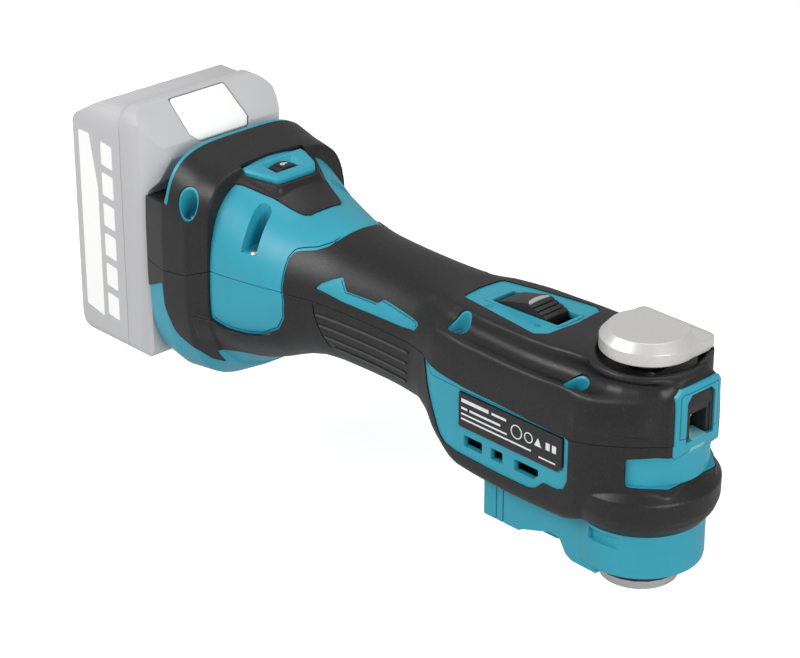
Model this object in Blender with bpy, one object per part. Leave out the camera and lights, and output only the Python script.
# Cordless oscillating multi-tool: overmoulded housing, drive, clamp, switch and battery pack.
# Tables are in millimetres.  +X is the front, +Y the left, +Z is up; the spindle axis passes
# through the origin and the motor axis runs along X.
import math

import bmesh
import bpy
from mathutils import Matrix, Vector

MM = 0.001
SIDES = (-1, 1)          # right (-Y), left (+Y)
EXACT = "EXACT"
MANIFOLD = "MANIFOLD"    # for the many-windowed shells, where EXACT fails, and the battery

# Body
REAR_X = -245.5          # rear cheeks of the tool body
RING_R = 31.5            # rubber bumper ring at the front of the head
BAND_R = 27.4            # window under the lamp
NOSE_R = 24.4            # nose around the spindle
SKIN = 1.7               # overmould thickness
GAP = 0.45               # overmould to housing
WALL = 2.6               # housing wall
HOUSING_INSET = SKIN + GAP
PART_Z = 70.0            # parting line, body and handle
PART_Z_HEAD = 63.0       # parting line, head
PART_GAP = 0.1           # each half ends this far from the parting line
GRIP_SPLIT_X = -171.0    # rear and front pieces of the upper overmould meet here
# Cutters end clear of the tool, this far out forwards or sideways, and this high
OUT = 60.0
OUT_Z = 140.0

# Clamp lever, in the top of the head
LEVER_HINGE = (0, 14.6, 93.6)
LEVER_ROOM_R = 21.4      # round recess for the lever
LEVER_ROOM = (-19.2, 19.2, 0, 50, 84.0, OUT_Z)   # squared recess for the hinge end

# Drive
MOTOR_Z = 60.0           # motor axis height
MOTOR_AXIS = (0, 0, MOTOR_Z)
ECCENTRICITY = 0.6       # eccentric pin offset
PIN_AXIS = (0, ECCENTRICITY, MOTOR_Z)
SPINDLE_R = 8.0
MOTOR_SHAFT_R = 4.0
PIN_R = 2.5
FIT = 0.05               # radial play of parts on a shaft and bearings in a pocket
LOWER_BEARING_R = 16.0
UPPER_BEARING_R = 13.0
FRONT_BEARING_R = 10.0

# Electrics and battery
DIAL = (-197.3, 0, 96.6)
DIAL_R = 10.8
CONTACT_YS = (-16.0, 0.0, 16.0)
BATTERY_REAR_X = -294.0
BATTERY_BOTTOM_Z = 13.0
BATTERY_HALF_W = 37.5

# Housing screws: x, distance from the centre plane, height of the head seat
SCREWS = [(-225.0, 31.6, 87.0), (-179.0, 26.6, 80.5), (-71.0, 23.2, 80.5), (-11.0, 23.0, 76.0)]
SCREW_PLACES = [(x, side * y, z) for x, y, z in SCREWS for side in SIDES]

# x, half-width, top, bottom, height of widest point, upper and lower exponent
BODY = [
    (REAR_X, 38.6, 112.0, 11.5, 62.0, 5.0, 3.6),
    (-236.0, 39.6, 115.0, 8.5, 62.0, 3.6, 3.4),
    (-226.0, 40.0, 117.5, 8.5, 62.0, 2.5, 3.2),
    (-215.0, 40.2, 115.0, 10.5, 62.0, 2.3, 3.0),
    (-204.0, 40.0, 109.5, 15.5, 62.0, 2.5, 2.8),
    (-190.0, 37.5, 105.5, 23.0, 62.5, 2.7, 2.6),
    (-176.0, 33.8, 101.0, 30.0, 63.0, 2.7, 2.5),
    (-165.0, 30.4, 97.5, 34.5, 63.5, 2.6, 2.4),
    (-155.0, 27.7, 94.3, 36.6, 64.0, 2.5, 2.4),
    (-144.0, 26.2, 92.3, 37.0, 64.0, 2.4, 2.4),
    (-122.0, 25.7, 91.5, 37.0, 64.0, 2.4, 2.4),
    (-100.0, 26.2, 91.5, 37.0, 63.5, 2.5, 2.5),
    (-90.0, 28.2, 91.6, 35.0, 62.0, 2.8, 3.0),
    (-81.0, 30.6, 92.0, 31.5, 61.0, 3.4, 4.2),
    (-68.0, 31.0, 92.8, 27.8, 60.0, 3.8, 5.5),
    (-40.0, 31.0, 94.3, 27.2, 60.0, 3.4, 5.5),
    (-15.0, 31.0, 94.6, 27.2, 60.0, 2.9, 5.5),
    (0.0, 30.4, 93.6, 27.2, 60.0, 2.9, 5.5),
    (9.0, 28.6, 93.0, 27.4, 60.0, 3.0, 5.5),
    (16.0, 25.2, 92.0, 27.8, 60.0, 3.2, 5.5),
    (20.5, 21.4, 91.0, 28.6, 60.0, 3.4, 5.0),
    (23.0, 17.6, 90.0, 30.0, 60.0, 3.6, 4.5),
]
BODY_POINTS = 20         # points around each section
# Stations and points of the inside of the housing
COARSE_XS = (REAR_X, -226.0, -204.0, -176.0, -155.0, -122.0, -90.0, -68.0, -15.0, 9.0, 23.0)
COARSE_POINTS = 14

# Openings of the overmould seen from the side: x, z
FLANK = [
    (-193.5, 106), (-200, 86), (-203, 70), (-205.5, 48), (-190, 45.5), (-175, 49.4),
    (-166.4, 57), (-165, 71), (-167.0, 85), (-161, 91.5), (-149, 97), (-146, 120),
    (-176, 120), (-176, 99.5), (-187, 106)]
HEAD_SIDE = [
    (-84.5, 69), (-71, 64.9), (-10, 63.9), (-10.5, 46.5), (-14.0, 43.8), (-21, 43.8),
    (-24, 40.5), (-26, 37.2), (-66, 37.2), (-72.5, 37.6), (-78, 42.0), (-82.5, 51)]
ACCENT = [
    (-153.8, 74.3), (-138.8, 83.6), (-136.8, 79.3), (-118.3, 79.9), (-113.5, 83.0),
    (-95.3, 78.1), (-96.3, 75.1)]
REAR_CORNER = [
    (-260, 46), (-243, 46), (-236.3, 53.6), (-234, 40), (-222, 24), (-214, 14), (-214, -5),
    (-260, -5)]
# Openings of the overmould seen from above: x, y
SWITCH_PLATE = [
    (-84, 0), (-82, 11.5), (-41, 16.0), (-37, 13.0), (-34, 0), (-37, -13.0), (-41, -16.0),
    (-82, -11.5)]
DIAL_BEZEL = [(-207.5, -16.5), (-192, -9), (-190.5, 0), (-192, 9), (-207.5, 16.5)]


# ---------------------------------------------------------------- solids
def add(vertices, faces, name="cutter"):
    """Closed mesh from points in millimetres; its normals are turned outwards."""
    mesh = bpy.data.meshes.new(name)
    mesh.from_pydata([(x * MM, y * MM, z * MM) for x, y, z in vertices], [], faces)
    ob = bpy.data.objects.new(name, mesh)
    bpy.context.scene.collection.objects.link(ob)
    bm = bmesh.new()
    bm.from_mesh(mesh)
    bmesh.ops.recalc_face_normals(bm, faces=bm.faces)
    bm.to_mesh(mesh)
    bm.free()
    return ob


def prism(outline, axis, start, end, name="cutter"):
    """Extrude an outline along axis 'X' (y, z), 'Y' (x, z) or 'Z' (x, y)."""
    def place(point, along):
        a, b = point
        return {"X": (along, a, b), "Y": (a, along, b), "Z": (a, b, along)}[axis]

    n = len(outline)
    vertices = [place(point, along) for along in (start, end) for point in outline]
    faces = [[i, (i + 1) % n, n + (i + 1) % n, n + i] for i in range(n)]
    faces += [list(range(n)), list(range(n, 2 * n))]
    return add(vertices, faces, name)


def box(x0, x1, y0, y1, z0, z1, name="cutter"):
    return prism([(x0, y0), (x1, y0), (x1, y1), (x0, y1)], "Z", z0, z1, name)


def lathe(profile, centre=(0, 0, 0), axis="Z", segments=16, name="cutter"):
    """Turn (radius, height) points; radius 0 closes on the axis, otherwise it is a ring."""
    rows, points = [], []
    for radius, height in profile:
        if radius < 1e-6:
            rows.append([len(points)])
            points.append((0.0, 0.0, height))
            continue
        rows.append(list(range(len(points), len(points) + segments)))
        for i in range(segments):
            angle = 2 * math.pi * i / segments
            points.append((radius * math.cos(angle), radius * math.sin(angle), height))
    pairs = list(zip(rows, rows[1:]))
    if profile[0][0] > 1e-6 or profile[-1][0] > 1e-6:
        pairs.append((rows[-1], rows[0]))
    faces = []
    for a, b in pairs:
        for i in range(segments):
            j = (i + 1) % segments
            corners = [a[i % len(a)], a[j % len(a)], b[j % len(b)], b[i % len(b)]]
            corners = list(dict.fromkeys(corners))
            if len(corners) > 2:
                faces.append(corners)
    cx, cy, cz = centre
    # index of the turned coordinate that goes to x, y and z
    ix, iy, iz = {"X": (2, 0, 1), "Y": (1, 2, 0), "Z": (0, 1, 2)}[axis]
    vertices = [(cx + p[ix], cy + p[iy], cz + p[iz]) for p in points]
    return add(vertices, faces, name)


def cylinder(radius, start, end, centre=(0, 0, 0), axis="Z", segments=16, name="cutter"):
    profile = [(0, start), (radius, start), (radius, end), (0, end)]
    return lathe(profile, centre, axis, segments, name)


def tube(inner, outer, start, end, centre=(0, 0, 0), axis="Z", segments=16, name="cutter"):
    profile = [(inner, start), (outer, start), (outer, end), (inner, end)]
    return lathe(profile, centre, axis, segments, name)


def copy(ob, name="cutter"):
    new = ob.copy()
    new.data = ob.data.copy()
    new.name = name
    bpy.context.scene.collection.objects.link(new)
    return new


# ---------------------------------------------------------------- Booleans
def apply_modifiers(ob):
    bpy.context.view_layer.update()
    graph = bpy.context.evaluated_depsgraph_get()
    mesh = bpy.data.meshes.new_from_object(ob.evaluated_get(graph), depsgraph=graph)
    ob.modifiers.clear()
    old = ob.data
    ob.data = mesh
    bpy.data.meshes.remove(old)


def weld(mesh, distance=2e-6):
    """Merge the near-coincident points (metres) that the exact solver leaves."""
    bm = bmesh.new()
    bm.from_mesh(mesh)
    bmesh.ops.remove_doubles(bm, verts=bm.verts, dist=distance)
    bmesh.ops.dissolve_degenerate(bm, edges=bm.edges, dist=distance)
    bm.to_mesh(mesh)
    bm.free()


def boolean(target, operation, others, solver):
    """Apply the others to the target one by one and remove them."""
    for other in others:
        modifier = target.modifiers.new("boolean", "BOOLEAN")
        modifier.operation = operation
        modifier.solver = solver
        modifier.object = other
        apply_modifiers(target)
        bpy.data.objects.remove(other, do_unlink=True)
        if solver == EXACT:
            weld(target.data)


def cut(target, *others, solver=EXACT):
    boolean(target, "DIFFERENCE", others, solver)


def join(target, *others, solver=EXACT):
    boolean(target, "UNION", others, solver)


def keep_inside(target, other, solver=EXACT):
    boolean(target, "INTERSECT", [other], solver)


# ---------------------------------------------------------------- body shapes
def section(half_width, top, bottom, middle, upper_power, lower_power, inset, count):
    """Superellipse with its own exponent above and below the widest point, as (y, z)."""
    points = []
    for i in range(count):
        angle = 2 * math.pi * i / count
        c, s = math.cos(angle), math.sin(angle)
        power = upper_power if s >= 0 else lower_power
        height = (top - middle if s >= 0 else middle - bottom) - inset
        y = (half_width - inset) * math.copysign(abs(c) ** (2 / power), c)
        z = middle + height * math.copysign(abs(s) ** (2 / power), s)
        points.append((y, z))
    return points


def loft(stations, inset, rear_x, count):
    """Body skin moved inward, with its rear end at rear_x."""
    vertices, faces = [], []
    last = len(stations) - 1
    for k, (x, *shape) in enumerate(stations):
        if k == 0:
            x = rear_x
        if k == last:
            x -= inset
        vertices += [(x, y, z) for y, z in section(*shape, inset, count)]
    for k in range(last):
        a, b = k * count, (k + 1) * count
        for i in range(count):
            j = (i + 1) % count
            faces.append([a + i, a + j, b + j, b + i])
    faces.append(list(range(count)))
    faces.append(list(range(last * count, (last + 1) * count)))
    return add(vertices, faces)


def trunk(inset, rear_x, coarse=False):
    """Outer shape of body, handle, head and bumper ring, moved inward."""
    if coarse:
        stations = [station for station in BODY if station[0] in COARSE_XS]
        ob = loft(stations, inset, rear_x, COARSE_POINTS)
    else:
        ob = loft(BODY, inset, rear_x, BODY_POINTS)
    ring = [
        (0, 32.6 + inset), (RING_R - 5.5 - inset, 30.0 + inset),
        (RING_R - inset, 35.5 + inset * 0.5), (RING_R - inset, 45.4 - inset * 0.5),
        (BAND_R - inset, 50.0 - inset), (BAND_R - inset, 61.8 - inset), (0, 61.8 - inset)]
    join(ob, lathe(ring, segments=20), solver=MANIFOLD)
    return ob


def nose(inset, top):
    """Nose around the spindle and the skirt behind it, below the head."""
    profile = [
        (0, 4.2 + inset), (18.2 - inset * 0.5, 4.2 + inset), (22.6 - inset, 6.2 + inset * 0.6),
        (NOSE_R - inset, 10.0 + inset * 0.3), (NOSE_R - inset, top), (0, top)]
    skirt = [
        (-61.0 + inset, 10.0 + inset), (-58.0 + inset, 8.4 + inset), (-21.5, 8.4 + inset),
        (-19.0, 7.0 + inset), (-2.0, 7.0 + inset), (-2.0, top), (-61.0 + inset, top)]
    ob = prism(skirt, "Y", -22.2 + inset, 22.2 - inset)
    join(ob, lathe(profile, segments=20), solver=MANIFOLD)
    return ob


def half_space(direction):
    """Everything above (1) or below (-1) the stepped parting line."""
    body_z = PART_Z + direction * PART_GAP
    head_z = PART_Z_HEAD + direction * PART_GAP
    far_z = 200 if direction > 0 else -60
    outline = [
        (-330, body_z), (-88, body_z), (-82, head_z), (90, head_z), (90, far_z), (-330, far_z)]
    return prism(outline, "Y", -90, 90)


def rim_cut(inset):
    """Room above the rear cheeks for the upper end of the pack."""
    outline = [
        (-270, 93 - inset), (-246, 93 - inset), (-237 + inset, 95 - inset),
        (-230.5 + inset, 103.5 - inset), (-226.5 + inset, 112), (-223 + inset, 130), (-270, 130)]
    return prism(outline, "Y", -80, 80)


# ---------------------------------------------------------------- overmould
def cut_windows(grip):
    openings = [
        prism(outline, "Y", side * start, side * OUT)
        for side in SIDES
        for outline, start in ((FLANK, 14.0), (HEAD_SIDE, 26.0), (ACCENT, 16.0))]
    openings += [
        prism(SWITCH_PLATE, "Z", 80, OUT_Z),
        prism(DIAL_BEZEL, "Z", 96, OUT_Z),
        box(-174, -150, -16, 16, 88, OUT_Z),            # joins both flanks over the top
        box(8, OUT, -13, 13, 62.4, 92.5),               # lamp
        box(12.8, OUT, -24.3, 24.3, 49.7, 61.6),        # window under the lamp
        box(-280, REAR_X + 0.6, -60, 60, -20, 160)]     # parting to the battery
    openings += [prism(REAR_CORNER, "Y", side * 5, side * OUT) for side in SIDES]
    cut(grip, *openings, solver=MANIFOLD)


def build_overmould():
    grip = trunk(0.0, REAR_X)
    cut(grip,
        trunk(SKIN, REAR_X - 20),
        nose(-GAP, top=60.0),
        cylinder(26.6, 20, 33.2, segments=24),
        rim_cut(0.0),
        solver=MANIFOLD)
    cut_windows(grip)
    pits = [cylinder(4.3, z, OUT_Z, (x, y, 0), segments=12) for x, y, z in SCREW_PLACES]
    cut(grip, *pits, solver=MANIFOLD)
    cut(grip,
        cylinder(LEVER_ROOM_R, 89.0, OUT_Z, segments=24),
        box(*LEVER_ROOM),
        solver=MANIFOLD)

    upper = copy(grip, "grip_upper")
    keep_inside(upper, half_space(1), solver=MANIFOLD)
    rear = copy(upper, "grip_rear")
    cut(upper, box(-300, GRIP_SPLIT_X, -90, 90, 0, 160), solver=MANIFOLD)
    cut(rear, box(GRIP_SPLIT_X, 90, -90, 90, 0, 160), solver=MANIFOLD)
    grip.name = "grip_lower"
    keep_inside(grip, half_space(-1), solver=MANIFOLD)


# ---------------------------------------------------------------- hard housing
def housing_shell():
    """Hollow housing with nose and screw towers."""
    shell = trunk(HOUSING_INSET, REAR_X)
    join(shell, nose(0.0, top=40.0), solver=MANIFOLD)
    # limit of the towers, within the wall
    limit = trunk(HOUSING_INSET + 1.1, REAR_X + 1.0, coarse=True)
    join(limit, nose(1.1, top=40.7), solver=MANIFOLD)
    cut(shell,
        trunk(HOUSING_INSET + WALL, -232.0, coarse=True),
        nose(WALL, top=44.0),
        solver=MANIFOLD)
    for x, y, z in SCREW_PLACES:
        tower = cylinder(5.3, 20, z, (x, y, 0), segments=10)
        keep_inside(tower, copy(limit), solver=MANIFOLD)
        join(shell, tower, solver=MANIFOLD)
    bpy.data.objects.remove(limit, do_unlink=True)
    for x, y, z in SCREW_PLACES:
        cut(shell,
            cylinder(4.0, z - 2.5, OUT_Z, (x, y, 0), segments=12),    # head
            cylinder(2.1, z - 24.0, z, (x, y, 0), segments=8),        # shank
            solver=MANIFOLD)
    return shell


def build_housing():
    # channel for the pack's rails, open at the top: x, y
    rail_channel = [
        (-250, -30.5), (-240.6, -30.5), (-240.6, -33.0), (-236.8, -33.0),
        (-236.8, 33.0), (-240.6, 33.0), (-240.6, 30.5), (-250, 30.5)]
    vent_xs = ((-64.2, -54.0), (-49.8, -43.4), (-37.2, -24.8))

    shell = housing_shell()
    cut(shell,
        rim_cut(0.6),
        prism(rail_channel, "Z", 24.0, OUT_Z),
        box(-237.5, -229.0, -26.0, 26.0, 34.0, 56.0),          # terminal block
        box(-238.0, -235.0, -6.2, 6.2, 91.0, OUT_Z),           # battery latch
        box(-200.9, -193.7, -8.4, 8.4, 96.0, OUT_Z),           # dial slot
        box(-200.9, -193.7, -11.4, 11.4, 90.0, 104.0),         # dial room
        box(-72.6, -41, -6.4, 6.4, 82, OUT_Z),                 # switch slot
        solver=MANIFOLD)
    vents = [
        box(x0, x1, side * 20, side * OUT, 39.5, 44.5) for side in SIDES for x0, x1 in vent_xs]
    cut(shell, *vents, solver=MANIFOLD)
    cut(shell,
        box(12, OUT, -12.9, 12.9, 62.8, 90.6),                 # lamp
        cylinder(LEVER_ROOM_R, 88.4, OUT_Z, segments=24),
        cylinder(10.6, 70, OUT_Z, segments=20),                # top of the spindle
        box(*LEVER_ROOM),
        cylinder(17.4, -5, 20, segments=20),                   # bottom of the spindle
        solver=MANIFOLD)

    upper = copy(shell, "housing_upper")
    keep_inside(upper, half_space(1), solver=MANIFOLD)
    shell.name = "housing_lower"
    keep_inside(shell, half_space(-1), solver=MANIFOLD)


def build_screws():
    for number, (x, y, z) in enumerate(SCREW_PLACES, start=1):
        profile = [
            (0, z - 22.0), (1.8, z - 20.5), (1.8, z - 2.4), (3.4, z - 2.4), (3.4, z - 0.4),
            (2.6, z + 0.2), (0, z + 0.2)]
        lathe(profile, (x, y, 0), segments=12, name=f"housing_screw_{number}")


# ---------------------------------------------------------------- lamp and nameplate
def build_lamp():
    bezel_outline = [                                          # x, y
        (19.0, -12.6), (23.4, -12.6), (24.4, -9), (24.9, 0), (24.4, 9), (23.4, 12.6),
        (19.0, 12.6)]
    bezel = prism(bezel_outline, "Z", 63.1, 90.3, "lamp_bezel")
    cut(bezel, box(10, 40, -8.8, 8.8, 67.6, 86.6))

    holder = box(15.6, 22.6, -8.5, 8.5, 67.9, 86.3, "led_holder")
    cut(holder, prism([(17.4, 70.4), (30, 66.0), (30, 77.6), (17.4, 77.6)], "Y", -5.2, 5.2))
    lens = [(17.7, 70.7), (20.6, 69.6), (19.6, 77.3), (17.7, 77.3)]
    prism(lens, "Y", -4.9, 4.9, "led_lens")


def build_nameplate():
    outline = [                                                # x, z
        (-66, 50.0), (-64.0, 48), (-14.6, 48), (-12.6, 50), (-12.6, 60.4), (-14.6, 62.4),
        (-64.0, 62.4), (-66, 60.4)]
    prism(outline, "Y", -31.6, -29.35, "nameplate_right")


# ---------------------------------------------------------------- spindle and clamp
def build_spindle():
    tube(16.1, 17.1, 4.6, 8.0, segments=20, name="dust_seal")
    spindle = [
        (11.6, 0.0), (15.4, 0.0), (15.4, 4.4), (13.4, 6.4), (9.0, 6.4), (SPINDLE_R, 10.0),
        (SPINDLE_R, 84.0), (5.7, 84.0), (5.7, 49.3), (3.4, 49.3), (3.4, 47.2), (5.7, 47.2),
        (5.7, 2.4), (11.6, 2.4)]
    lathe(spindle, segments=20, name="spindle")
    bore = SPINDLE_R + FIT
    tube(bore, LOWER_BEARING_R, 13.0, 22.0, segments=20, name="spindle_bearing_lower")
    tube(bore, UPPER_BEARING_R, 74.0, 80.0, segments=20, name="spindle_bearing_upper")


def build_clamp():
    bolt = [
        (0, 0), (9.6, 0), (11.0, 1.0), (11.0, 2.0), (4.2, 2.0), (3.4, 3.2), (3.4, 30.0),
        (2.7, 31.0), (3.4, 32.0), (2.7, 33.0), (3.4, 34.0), (2.7, 35.0), (3.4, 36.0),
        (2.4, 37.5), (0, 37.5)]
    lathe(bolt, name="holder_bolt")
    # half rings gripping the bolt's thread, 0.5 mm clear of the centre plane
    for side, letter in zip(SIDES, "ab"):
        jaw = tube(3.6, 5.3, 28.0, 39.0, segments=24, name=f"clamp_jaw_{letter}")
        cut(jaw, box(-10, 10, side * 0.5, side * -12, 20, 50))
    shaft = [
        (0, 41.0), (5.3, 41.0), (5.3, 44.5), (3.0, 46.0), (3.0, 75.6), (5.3, 75.6),
        (5.3, 78.6), (3.6, 80.0), (3.6, 88.2), (4.4, 88.2), (4.4, 90.8), (0, 91.4)]
    lathe(shaft, segments=20, name="clamp_shaft")


def build_clamp_spring():
    """Compression spring between the step in the spindle's bore and the shaft's collar."""
    turns, steps_per_turn, wire_points = 5, 10, 4
    wire_r, coil_r = 0.55, 4.3
    bottom, top = 49.95, 74.95
    steps = steps_per_turn * turns
    vertices, faces = [], []
    for i in range(steps + 1):
        angle = 2 * math.pi * i / steps_per_turn
        outward = Vector((math.cos(angle), math.sin(angle), 0))
        centre = outward * coil_r + Vector((0, 0, bottom + (top - bottom) * i / steps))
        for k in range(wire_points):
            around = 2 * math.pi * k / wire_points
            rise = Vector((0, 0, wire_r * math.sin(around)))
            vertices.append(tuple(centre + outward * (wire_r * math.cos(around)) + rise))
    for i in range(steps):
        a, b = i * wire_points, (i + 1) * wire_points
        for k in range(wire_points):
            j = (k + 1) % wire_points
            faces.append([a + k, a + j, b + j, b + k])
    end = steps * wire_points
    faces += [list(range(wire_points)), list(range(end, end + wire_points))]
    add(vertices, faces, "clamp_spring")


def build_lever():
    """Round cap with a squared hinge end towards +Y."""
    _, hinge_y, hinge_z = LEVER_HINGE
    cap = [(0, 92.6), (17.2, 92.6), (17.8, 93.4), (18.2, 97.6), (15.4, 101.6), (0, 101.7)]
    hinge_end = [                                              # x, y
        (-14.5, 2), (14.5, 2), (17.4, 10), (17.4, 17.6), (-17.4, 17.6), (-17.4, 10)]
    lug_near, lug_far = 9.4, 12.8
    lever = lathe(cap, segments=24, name="clamp_lever")
    join(lever, prism(hinge_end, "Z", 93.4, 99.6))
    cut(lever,
        cylinder(14.6, 88, 96.6, segments=20),
        box(-9.0, 9.0, 5, 30, 88, 97.0))
    for side in SIDES:
        x0, x1 = side * lug_near, side * lug_far
        join(lever,
             cylinder(3.4, x0, x1, LEVER_HINGE, "X"),
             box(x0, x1, hinge_y - 3.0, hinge_y + 3.0, hinge_z, 97.5))
    cut(lever, cylinder(1.6, -20, 20, LEVER_HINGE, "X"))
    cylinder(1.5, -16.0, 16.0, LEVER_HINGE, "X", name="lever_pin")


# ---------------------------------------------------------------- motor and drive
def build_motor():
    bore = MOTOR_SHAFT_R + FIT
    bearing_bore = MOTOR_SHAFT_R + 0.15
    tube(12.4, 17.8, -86.0, -62.0, MOTOR_AXIS, "X", name="stator")
    tube(bore, 11.8, -87.0, -61.0, MOTOR_AXIS, "X", name="rotor")
    shaft = cylinder(MOTOR_SHAFT_R, -103.0, -26.0, MOTOR_AXIS, "X", name="motor_shaft")
    join(shaft, cylinder(PIN_R, -30.0, -15.6, PIN_AXIS, "X"))
    tube(bearing_bore, 9.0, -102.5, -97.0, MOTOR_AXIS, "X", name="motor_bearing_rear")
    tube(bearing_bore, FRONT_BEARING_R, -39.0, -32.5, MOTOR_AXIS, "X",
         name="motor_bearing_front")
    weight = tube(bore, 8.6, -30.8, -27.0, MOTOR_AXIS, "X", name="counterweight")
    cut(weight, box(-32, -25, 2.2, 20, 30, 90))
    tube(PIN_R + FIT, 7.0, -23.0, -17.2, PIN_AXIS, "X", name="eccentric_bearing")


def build_fan():
    bore = MOTOR_SHAFT_R + FIT
    disc = [(bore, -57.0), (8.0, -57.0), (17.6, -48.5), (18.4, -46.6), (bore, -46.6)]
    blade_count = 9
    blade_xs = (-56.5, -47.6)
    # radius, angle from the blade's middle in radians
    blade_corners = ((7.2, -0.06), (17.5, -0.04), (17.5, 0.04), (7.2, 0.06))
    blade_faces = [
        [0, 1, 2, 3], [4, 5, 6, 7], [0, 1, 5, 4], [1, 2, 6, 5], [2, 3, 7, 6], [3, 0, 4, 7]]
    fan = lathe(disc, MOTOR_AXIS, "X", name="cooling_fan")
    for i in range(blade_count):
        angle = 2 * math.pi * i / blade_count
        vertices = [
            (x, r * math.cos(angle + turn), MOTOR_Z + r * math.sin(angle + turn))
            for x in blade_xs for r, turn in blade_corners]
        join(fan, add(vertices, blade_faces))


def build_fork():
    """Fork on the spindle, around the eccentric bearing."""
    fork = tube(SPINDLE_R + FIT, 12.6, MOTOR_Z - 8.5, MOTOR_Z + 8.5, segments=20,
                name="swing_fork")
    for side in SIDES:
        join(fork, box(-24.5, -6, side * 8.5, side * 12.2, MOTOR_Z - 5.5, MOTOR_Z + 5.5))


def build_gear_housing():
    """Spindle tube, motor flange and the room for the fork, with a damper each side."""
    profile = [
        (0, 11.5), (19.0, 11.5), (19.0, 26.0), (18.2, 30.0), (18.2, 62.0), (15.0, 66.0),
        (15.0, 81.5), (0, 81.5)]
    gear = lathe(profile, segments=20, name="gear_housing")
    join(gear,
         box(-36.0, -1.0, -17.0, 17.0, MOTOR_Z - 15.5, MOTOR_Z + 15.5),
         cylinder(21.0, -41.5, -34.0, MOTOR_AXIS, "X", 20))
    cut(gear,
        cylinder(LOWER_BEARING_R + 0.1, 0, 22.2, segments=20),
        cylinder(13.4, 22.0, 71.0, segments=20),
        cylinder(10.6, 60.0, OUT_Z, segments=20),
        cylinder(UPPER_BEARING_R + FIT, 73.9, OUT_Z, segments=20),
        box(-32.4, -2, -13.6, 13.6, MOTOR_Z - 12.0, MOTOR_Z + 11.4),
        cylinder(FRONT_BEARING_R + FIT, -39.1, -30.0, MOTOR_AXIS, "X"),
        cylinder(6.5, -50, -30.0, MOTOR_AXIS, "X"))
    for side, label in zip(SIDES, ("right", "left")):
        box(-31, -18, side * 17.1, side * 25.4, 52, 61, f"damper_{label}")


# ---------------------------------------------------------------- switch and electrics
def build_switch():
    knob = [                                                   # x, z
        (-72.0, 86.6), (-50.5, 86.6), (-48.2, 88.6), (-49.6, 91.6), (-53, 93.0),
        (-57.0, 92.4), (-62.0, 91.0), (-68.0, 91.4), (-72.0, 90.0)]
    slider = prism(knob, "Y", -6.0, 6.0, "power_slider")
    join(slider,
         box(-74.0, -44.5, -9.0, 9.0, 83.4, 85.6),             # plate under the knob
         box(-70.0, -55.0, -5.0, 5.0, 85.0, 87.6),             # neck between them
         box(-60.0, -56.0, -1.6, 1.6, 79.4, 84.0))             # peg into the rod
    rod = box(-170.0, -53.6, -3.2, 3.2, 80.2, 83.1, "slider_rod")
    cut(rod, box(-60.3, -55.7, -1.9, 1.9, 70, 90))
    join(rod, box(-170.0, -166.0, -3.2, 3.2, 72.0, 82.0))
    box(-158.4, -146.0, -7.0, 7.0, 62.0, 78.6, "microswitch")


def build_electrics():
    wheel = [
        (0, -2.6), (DIAL_R - 0.6, -2.6), (DIAL_R, -2.0), (DIAL_R, 2.0), (DIAL_R - 0.6, 2.6),
        (0, 2.6)]
    dial = lathe(wheel, DIAL, "X", 24, "speed_dial")
    join(dial, cylinder(2.0, -8.0, 2.6, DIAL, "X", 12))
    controller = box(-226.0, -206.0, -24.0, 24.0, 34.0, 88.5, "controller")
    join(controller, box(-216.0, -203.0, -9.0, 9.0, 86.0, 100.0))
    cut(controller, cylinder(2.2, -10.0, 4.0, DIAL, "X", 12))
    terminal = box(-236.5, -229.4, -25.4, 25.4, 34.6, 55.4, "terminal_block")
    join(terminal, *[box(-241.5, -235.0, y - 0.6, y + 0.6, 37.0, 53.0) for y in CONTACT_YS])


# ---------------------------------------------------------------- battery
def build_battery_case():
    outer = [                                                  # x, z
        (BATTERY_REAR_X, 24.0), (-292.2, 17.5), (-286.5, 14.0), (-282, BATTERY_BOTTOM_Z),
        (-262.0, BATTERY_BOTTOM_Z), (-262.0, 123.4), (-281, 123.0), (-289.5, 120.0),
        (BATTERY_REAR_X, 113.0)]
    inner = [
        (-291.0, 26.0), (-288.6, 19.4), (-284.0, 16.2), (-240.0, 16.2), (-240.0, 119.4),
        (-282.0, 119.4), (-288.0, 117.0), (-291.0, 111.0)]
    case = prism(outer, "Y", -BATTERY_HALF_W, BATTERY_HALF_W, "battery_case")
    bevel = case.modifiers.new("bevel", "BEVEL")
    bevel.width = 4.0 * MM
    bevel.segments = 2
    bevel.limit_method = "ANGLE"
    bevel.angle_limit = math.radians(60)
    apply_modifiers(case)
    cut(case,
        box(-260.3, -250, -60, 60, 0, 140),
        prism(inner, "Y", -34.6, 34.6),
        solver=MANIFOLD)


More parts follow.
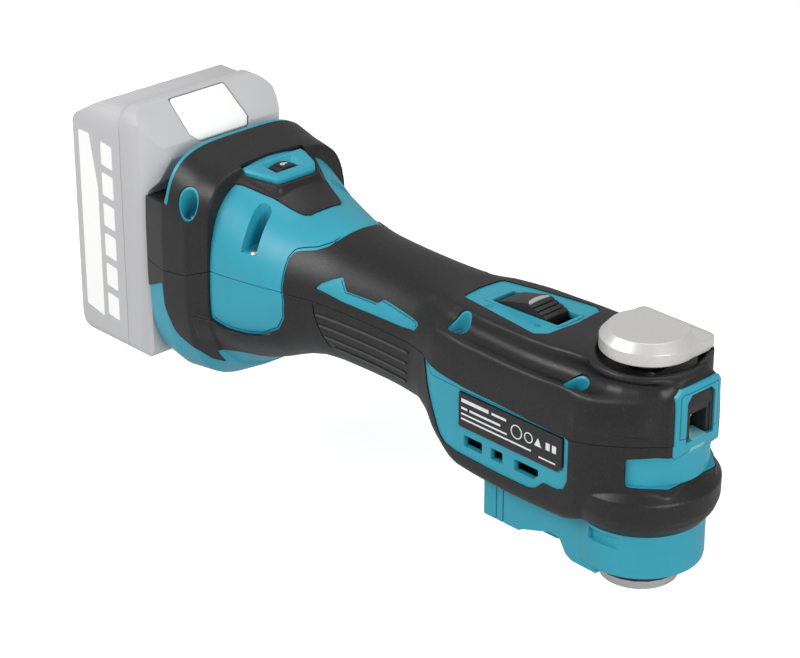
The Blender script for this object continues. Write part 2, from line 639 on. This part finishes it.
def build_battery_cover():
    outer = [                                                  # x, z
        (-261.7, BATTERY_BOTTOM_Z), (-246.3, BATTERY_BOTTOM_Z), (-246.3, 94.0),
        (-240.0, 100.0), (-237.0, 108.5), (-238.6, 111.5), (-257.0, 125.4), (-261.7, 125.4)]
    inner = [
        (-264, 15.6), (-248.8, 15.6), (-248.8, 95.4), (-242.3, 101.4), (-239.8, 108.4),
        (-257.8, 121.8), (-264, 121.8)]
    button_pocket = [(-251.5, 127.0), (-256.6, 119.6), (-243.6, 106.0), (-239.4, 112.4)]
    cover = prism(outer, "Y", -BATTERY_HALF_W, BATTERY_HALF_W, "battery_cover")
    cut(cover, prism(inner, "Y", -34.8, 34.8), solver=MANIFOLD)
    # rails: x range and half-width
    for x0, x1, half in ((-249.2, -240.9, 26.5), (-240.3, -237.2, 32.6), (-244.0, -238.0, 30.0)):
        join(cover, box(x0, x1, -half, half, 24.5, 91.5), solver=MANIFOLD)
    cut(cover, box(-252.0, -239.6, -24.0, 24.0, 20.0, 89.0), solver=MANIFOLD)
    slots = [box(-243.0, -233.0, y - 1.3, y + 1.3, 10.0, 60.0) for y in CONTACT_YS]
    cut(cover,
        *slots,
        prism(button_pocket, "Y", -15.0, 15.0),
        box(-250.0, -230.0, -6.0, 6.0, 92.0, 99.0),            # latch opening
        solver=MANIFOLD)


def build_battery_button_and_latch():
    plate = [(-253.6, 120.4), (-241.8, 111.5), (-240.9, 112.9), (-245.0, 116.9), (-252.6, 122.2)]
    stem = [(-249.6, 118.0), (-250.4, 113.6), (-247.6, 111.0), (-244.0, 113.5)]
    button = prism(plate, "Y", -14.4, 14.4, "battery_button")
    join(button, prism(stem, "Y", -5.0, 5.0), solver=MANIFOLD)
    latch = [(-250.8, 93.0), (-236.0, 93.0), (-236.0, 94.6), (-238.4, 97.6), (-250.8, 97.6)]
    prism(latch, "Y", -5.4, 5.4, "battery_latch")


def build_cells():
    rows, columns = 5, 2
    first_x, pitch_x = -281.4, 18.6
    first_z, pitch_z = 28.0, 20.0
    for i in range(rows * columns):
        row, column = divmod(i, columns)
        centre = (first_x + pitch_x * column, 0, first_z + pitch_z * row)
        cylinder(9.1, -32.6, 32.6, centre, "Y", name=f"cell_{i + 1}")


# ---------------------------------------------------------------- looks and shading
def plastic(*colour):
    return dict(colour=colour, metallic=0.0, roughness=0.6)


def metal(*colour, roughness):
    return dict(colour=colour, metallic=1.0, roughness=roughness)


TEAL = plastic(0.035, 0.35, 0.45)
BLACK = plastic(0.03, 0.03, 0.032)
GREY = plastic(0.55, 0.55, 0.56)
GREEN = plastic(0.02, 0.2, 0.08)
WHITE = plastic(0.85, 0.85, 0.85)
STEEL = metal(0.5, 0.5, 0.5, roughness=0.35)
ALUMINIUM = metal(0.72, 0.72, 0.72, roughness=0.35)
COPPER = metal(0.6, 0.25, 0.1, roughness=0.6)
BRASS = metal(0.7, 0.5, 0.2, roughness=0.6)

# Pieces by look; every other piece is steel
LOOKS = [
    (TEAL, "housing_upper housing_lower lamp_bezel"),
    (BLACK, "grip_upper grip_rear grip_lower led_holder nameplate_right dust_seal cooling_fan "
            "damper_left damper_right power_slider slider_rod microswitch speed_dial "
            "controller terminal_block"),
    (GREY, "battery_case battery_cover battery_latch"),
    (GREEN, " ".join(f"cell_{n}" for n in range(1, 11))),
    (WHITE, "led_lens battery_button"),
    (ALUMINIUM, "clamp_lever gear_housing"),
    (COPPER, "stator"),
    (BRASS, "counterweight"),
]
LOOK_OF = {name: look for look, names in LOOKS for name in names.split()}

# Moving pieces turn about their own origins
PIVOTS = {
    "clamp_lever": LEVER_HINGE, "lever_pin": LEVER_HINGE, "speed_dial": DIAL,
    "rotor": (-75, 0, MOTOR_Z), "motor_shaft": (-75, 0, MOTOR_Z),
    "cooling_fan": (-50, 0, MOTOR_Z), "counterweight": (-29, 0, MOTOR_Z),
    "eccentric_bearing": (-20, 0, MOTOR_Z),
    "power_slider": (-60, 0, 88), "slider_rod": (-60, 0, 82),
    "battery_case": (-270, 0, 70), "battery_cover": (-250, 0, 70),
    "battery_button": (-247, 0, 116), "battery_latch": (-245, 0, 95),
}


def set_material(ob):
    """Each piece has a material of its own, named after it."""
    look = LOOK_OF.get(ob.name, STEEL)
    material = bpy.data.materials.new(ob.name)
    material.use_nodes = True
    inputs = material.node_tree.nodes["Principled BSDF"].inputs
    inputs["Base Color"].default_value = (*look["colour"], 1.0)
    inputs["Metallic"].default_value = look["metallic"]
    inputs["Roughness"].default_value = look["roughness"]
    ob.data.materials.clear()
    ob.data.materials.append(material)


def shade(mesh, sharp_angle=math.radians(32)):
    """Smooth faces with sharp edges above the angle."""
    bm = bmesh.new()
    bm.from_mesh(mesh)
    bmesh.ops.recalc_face_normals(bm, faces=bm.faces)
    for face in bm.faces:
        face.smooth = True
    for edge in bm.edges:
        if len(edge.link_faces) == 2 and edge.calc_face_angle(0.0) > sharp_angle:
            edge.smooth = False
    bm.to_mesh(mesh)
    bm.free()


def set_pivot(ob, point):
    pivot = Vector(point) * MM
    ob.data.transform(Matrix.Translation(-pivot))
    ob.location = pivot


def main():
    for old in list(bpy.data.objects):
        bpy.data.objects.remove(old, do_unlink=True)
    build_overmould()
    build_housing()
    build_screws()
    build_lamp()
    build_nameplate()
    build_spindle()
    build_clamp()
    build_clamp_spring()
    build_lever()
    build_motor()
    build_fan()
    build_fork()
    build_gear_housing()
    build_switch()
    build_electrics()
    build_battery_case()
    build_battery_cover()
    build_battery_button_and_latch()
    build_cells()
    for ob in list(bpy.data.objects):
        set_material(ob)
        shade(ob.data)
    for name, point in PIVOTS.items():
        set_pivot(bpy.data.objects[name], point)


main()
